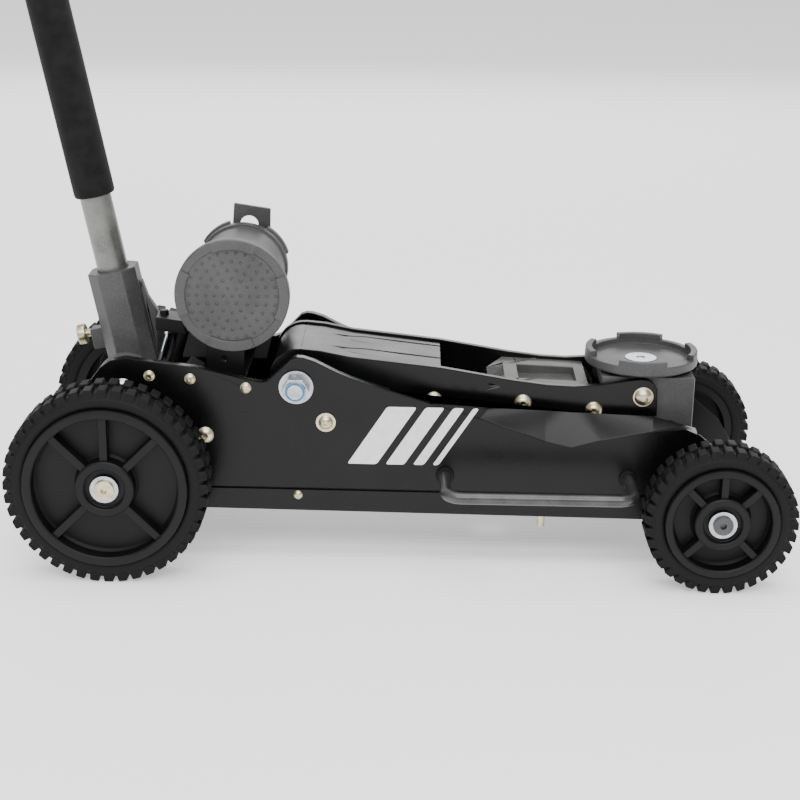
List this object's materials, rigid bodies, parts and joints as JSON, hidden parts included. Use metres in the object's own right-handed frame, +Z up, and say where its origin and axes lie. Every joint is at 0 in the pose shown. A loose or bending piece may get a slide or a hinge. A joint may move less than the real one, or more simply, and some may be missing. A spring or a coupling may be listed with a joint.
{
  "type": "hydraulic floor jack",
  "caption": "Low wheeled hydraulic floor jack with a lift arm and turning saddle, pump handle, side carrying rods and a stored saddle extension.",
  "frame": {"origin": "on the floor, at the centre of the box round the jack in its rest pose", "axes": "+X forward towards the saddle, +Y to the jack's left, +Z up"},
  "size_m": [0.894, 0.3302, 1.1653],
  "materials": {
    "gloss_black": "glossy powder coat",
    "black_steel": "satin black paint",
    "grey_casting": "grey hammered paint on castings",
    "pale_casting": "light grey casting",
    "zinc_yellow": "yellow zinc plate",
    "zinc_silver": "bright zinc plate",
    "chrome": "hard chrome",
    "grey_rod": "grey metallic paint",
    "grey_tube": "silver grey metallic paint",
    "foam": "closed cell foam",
    "grip_rubber": "matte moulded rubber",
    "tyre_rubber": "matte tread rubber",
    "hub_black": "moulded nylon",
    "plug_plastic": "moulded rubber plug"
  },
  "bodies": {
    "frame": {"side_plate_right": "gloss_black", "side_plate_left": "gloss_black", "skid_plate": "gloss_black", "frame_screws": "zinc_yellow", "skid_screws": "zinc_yellow", "front_axle": "grey_rod", "rear_axle": "zinc_yellow", "axle_clips": "zinc_silver", "axle_spacers": "black_steel", "pivot_bolt": "zinc_silver", "pivot_nuts": "zinc_silver", "pivot_washers": "zinc_silver", "pull_handle_right": "grey_rod", "pull_handle_left": "grey_rod", "pull_handle_nuts": "zinc_silver", "power_unit_body": "grey_casting", "hydraulic_cylinder": "grey_casting", "gland_nut": "zinc_silver", "pump_barrel": "black_steel", "filler_plug": "plug_plastic", "extension_cradle": "black_steel", "extension_keeper": "grey_casting", "link_stub_pins": "zinc_yellow", "socket_pivot_bolt": "zinc_silver"},
    "lift_arm": {"lift_arm_right": "gloss_black", "lift_arm_left": "gloss_black", "arm_pivot_tube": "black_steel", "arm_crank": "black_steel", "crank_pin": "zinc_silver", "arm_cover": "gloss_black", "arm_brace": "pale_casting", "arm_bolts": "zinc_yellow", "yoke_pins": "zinc_yellow"},
    "equalizer": {"equalizer_links": "black_steel"},
    "yoke": {"saddle_yoke": "grey_casting", "yoke_link_pin": "zinc_silver"},
    "saddle_head": {"saddle": "grey_casting", "saddle_bolt": "zinc_silver"},
    "ram": {"ram_rod": "chrome", "ram_clevis": "black_steel"},
    "socket": {"handle_socket": "grey_casting"},
    "clamp_screw": {"lock_screw": "zinc_yellow"},
    "handle": {"handle_tube": "grey_tube", "handle_foam": "foam", "hand_grip": "grip_rubber", "grip_cap": "grip_rubber"},
    "pump": {"pump_plunger": "chrome", "pump_crosshead": "black_steel"},
    "extension": {"extension_body": "grey_casting", "extension_plate": "grey_casting"},
    "rear_wheel_right": {"rear_tyre_right": "tyre_rubber", "rear_hub_right": "hub_black"},
    "rear_wheel_left": {"rear_tyre_left": "tyre_rubber", "rear_hub_left": "hub_black"},
    "front_wheel_right": {"front_tyre_right": "tyre_rubber", "front_hub_right": "hub_black"},
    "front_wheel_left": {"front_tyre_left": "tyre_rubber", "front_hub_left": "hub_black"}
  },
  "joints": [
    {"name": "lift", "type": "hinge", "parent": "frame", "child": "lift_arm", "pos_m": [-0.05482, 0, 0.1875], "axis": [0, -1, 0], "range_deg": [-8.5, 56]},
    {"name": "equalizer_swing", "type": "hinge", "parent": "frame", "child": "equalizer", "pos_m": [-0.02482, 0, 0.1505], "axis": [0, -1, 0], "range_deg": [-9, 56.5]},
    {"name": "yoke_level", "type": "hinge", "parent": "lift_arm", "child": "yoke", "pos_m": [0.29918, 0, 0.17297], "axis": [0, -1, 0], "range_deg": [-56.5, 9]},
    {"name": "saddle_turn", "type": "hinge", "parent": "yoke", "child": "saddle_head", "pos_m": [0.30198, 0, 0.19], "axis": [0, 0, 1], "continuous": true},
    {"name": "ram_slide", "type": "slide", "parent": "frame", "child": "ram", "axis": [1, 0, 0], "range_m": [-0.009, 0.0565]},
    {"name": "handle_swing", "type": "hinge", "parent": "frame", "child": "socket", "pos_m": [-0.22982, 0, 0.182], "axis": [0, -1, 0], "range_deg": [0, 60]},
    {"name": "pump_stroke", "type": "slide", "parent": "frame", "child": "pump", "axis": [0.2807, 0, 0.9598], "range_m": [-0.0142, 0]},
    {"name": "handle_twist", "type": "hinge", "parent": "socket", "child": "handle", "pos_m": [-0.22982, 0, 0.182], "axis": [-0.1994, 0, 0.9799], "range_deg": [0, 90]},
    {"name": "clamp_turn", "type": "hinge", "parent": "socket", "child": "clamp_screw", "pos_m": [-0.27719, 0, 0.2142], "axis": [-0.9799, 0, -0.1994], "continuous": true},
    {"name": "extension_lift", "type": "slide", "parent": "frame", "child": "extension", "axis": [0, 0, 1], "range_m": [0, 0.12]},
    {"name": "rear_wheel_right_roll", "type": "hinge", "parent": "frame", "child": "rear_wheel_right", "pos_m": [-0.23882, -0.137, 0.1016], "axis": [0, 1, 0], "continuous": true},
    {"name": "rear_wheel_left_roll", "type": "hinge", "parent": "frame", "child": "rear_wheel_left", "pos_m": [-0.23882, 0.137, 0.1016], "axis": [0, 1, 0], "continuous": true},
    {"name": "front_wheel_right_roll", "type": "hinge", "parent": "frame", "child": "front_wheel_right", "pos_m": [0.37078, -0.137, 0.0762], "axis": [0, 1, 0], "continuous": true},
    {"name": "front_wheel_left_roll", "type": "hinge", "parent": "frame", "child": "front_wheel_left", "pos_m": [0.37078, 0.137, 0.0762], "axis": [0, 1, 0], "continuous": true}
  ],
  "couplings": [
    {"joint": "equalizer_swing", "follows": "lift", "ratio": 1},
    {"joint": "yoke_level", "follows": "lift", "ratio": -1},
    {"joint": "ram_slide", "follows": "lift", "m_per_rad": 0.0569},
    {"joint": "pump_stroke", "follows": "handle_swing", "m_per_rad": -0.0134}
  ]
}
